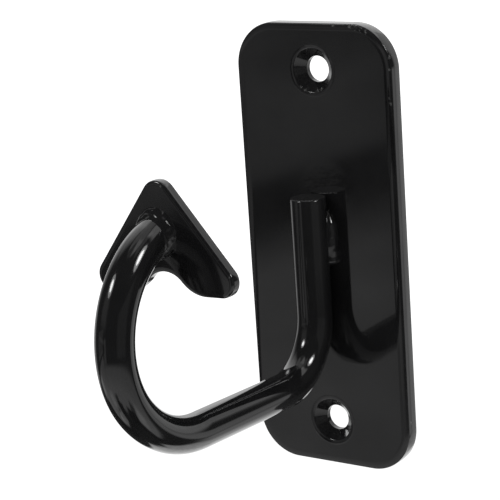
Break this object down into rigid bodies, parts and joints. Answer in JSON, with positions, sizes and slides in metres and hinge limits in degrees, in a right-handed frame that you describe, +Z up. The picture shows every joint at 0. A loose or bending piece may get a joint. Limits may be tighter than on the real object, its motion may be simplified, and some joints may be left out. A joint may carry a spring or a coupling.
{
  "type": "exercise wall anchor",
  "caption": "Wall-mounted steel hook for exercise bands: rounded plate with countersunk screw holes, welded bent bar and a chevron keeper plate at its tip.",
  "frame": {"origin": "middle of the wall plate's back face, on the wall", "axes": "+Y into the wall, -Y out along the hook, +Z up the wall, +X to the right of someone facing the wall"},
  "size_m": [0.06, 0.1212, 0.151],
  "materials": {
    "coated_steel": "gloss black coat over welded mild steel"
  },
  "bodies": {
    "root": {"wall_plate": "coated_steel", "hook_rod": "coated_steel", "keeper_plate": "coated_steel", "leg_weld_right": "coated_steel", "leg_weld_left": "coated_steel", "keeper_weld": "coated_steel"}
  },
  "joints": []
}
